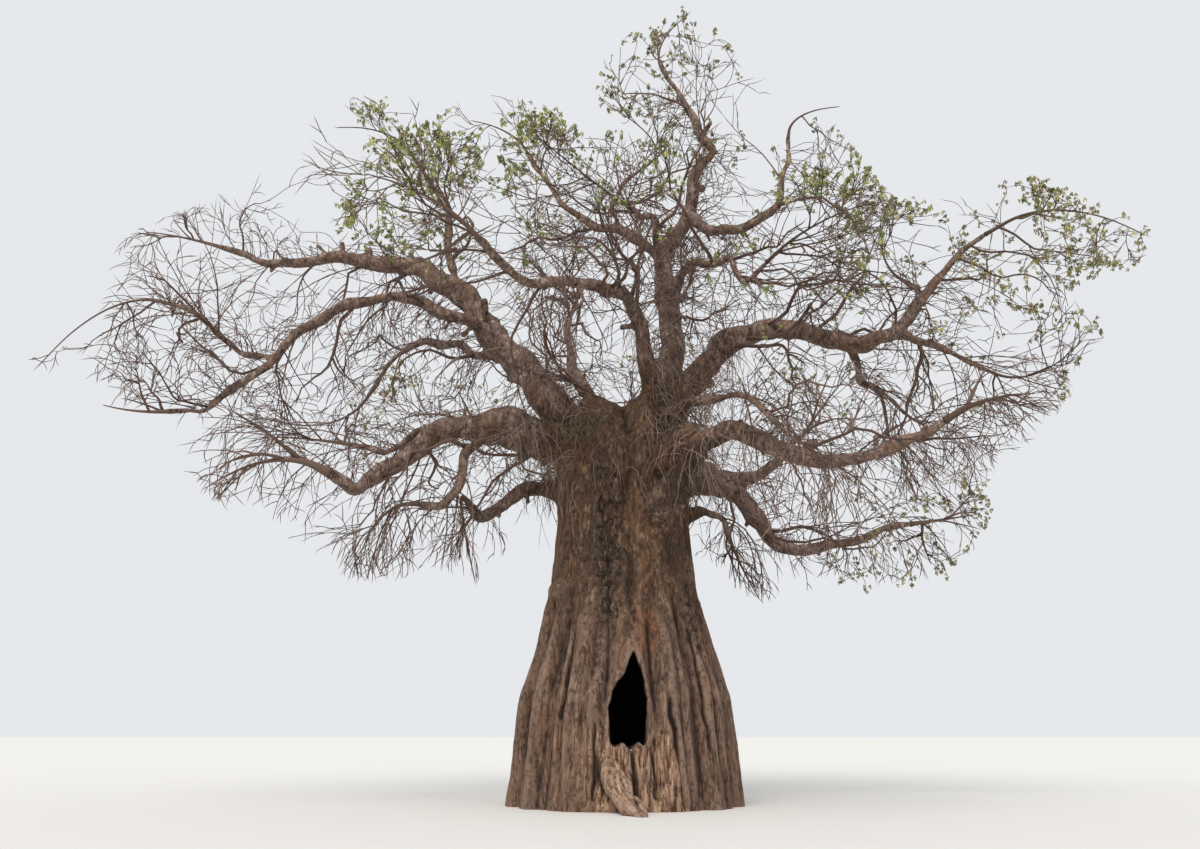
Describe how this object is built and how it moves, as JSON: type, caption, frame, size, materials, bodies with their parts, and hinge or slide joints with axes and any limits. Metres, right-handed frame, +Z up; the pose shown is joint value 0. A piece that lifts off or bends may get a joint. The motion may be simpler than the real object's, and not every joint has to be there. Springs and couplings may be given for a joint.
{
  "type": "baobab tree",
  "caption": "Large baobab tree with a thick, folded, hollow trunk, a pointed doorway into it, crooked spreading boughs and a nearly bare crown of fine twigs with some leaves.",
  "frame": {"origin": "middle of the trunk at ground level, on the flat cut under the trunk", "axes": "+Z up, +X to the right of the doorway as seen from in front, the doorway faces -Y"},
  "size_m": [29.377, 19.4036, 22.7],
  "materials": {
    "trunk_bark": "rough, folded grey-brown bark with a pinkish tone",
    "bough_bark": "rough grey-brown bark",
    "bare_twigs": "matte grey-brown twigs",
    "leafy_twigs": "matte green leaves in small hands"
  },
  "bodies": {
    "root": {"trunk": "trunk_bark", "bough_left_low": "bough_bark", "limb_left_drooping": "bough_bark", "limb_left_middle": "bough_bark", "bough_left_high": "bough_bark", "bough_left_arch": "bough_bark", "bough_left_arch_outer": "bough_bark", "limb_left_tip": "bough_bark", "limb_left_back": "bough_bark", "limb_upper_left": "bough_bark", "bough_left_stub": "bough_bark", "bough_middle": "bough_bark", "bough_main": "bough_bark", "limb_top_right": "bough_bark", "limb_top_left": "bough_bark", "limb_top_middle": "bough_bark", "bough_front_left": "bough_bark", "limb_centre_loop": "bough_bark", "limb_front_upper": "bough_bark", "limb_back_upper": "bough_bark", "bough_right_high": "bough_bark", "limb_right_level": "bough_bark", "limb_right_back": "bough_bark", "bough_right_middle": "bough_bark", "limb_front_right": "bough_bark", "bough_right_low": "bough_bark", "limb_right_stub": "bough_bark", "bough_back_left": "bough_bark", "bough_back": "bough_bark", "bough_back_right": "bough_bark", "twigs_left_tip": "bare_twigs", "twigs_left_low_tip": "bare_twigs", "twigs_left_edge": "bare_twigs", "twigs_left_back": "bare_twigs", "twigs_upper_left": "leafy_twigs", "twigs_left_low": "bare_twigs", "twigs_left_hanging": "bare_twigs", "twigs_left_middle": "bare_twigs", "twigs_left_stub": "bare_twigs", "twigs_middle": "bare_twigs", "twigs_front_left": "leafy_twigs", "twigs_top_left": "leafy_twigs", "twigs_top_middle": "leafy_twigs", "twigs_top": "leafy_twigs", "twigs_top_right": "leafy_twigs", "twigs_front_upper": "leafy_twigs", "twigs_back_upper": "leafy_twigs", "twigs_centre": "leafy_twigs", "twigs_right_tip": "leafy_twigs", "twigs_right_upper": "leafy_twigs", "twigs_right_level": "leafy_twigs", "twigs_right_back": "bare_twigs", "twigs_right_middle": "bare_twigs", "twigs_front_right": "bare_twigs", "twigs_right_low": "leafy_twigs", "twigs_right_stub": "bare_twigs", "twigs_back_left": "leafy_twigs", "twigs_back": "leafy_twigs", "twigs_back_right": "leafy_twigs"}
  },
  "joints": []
}
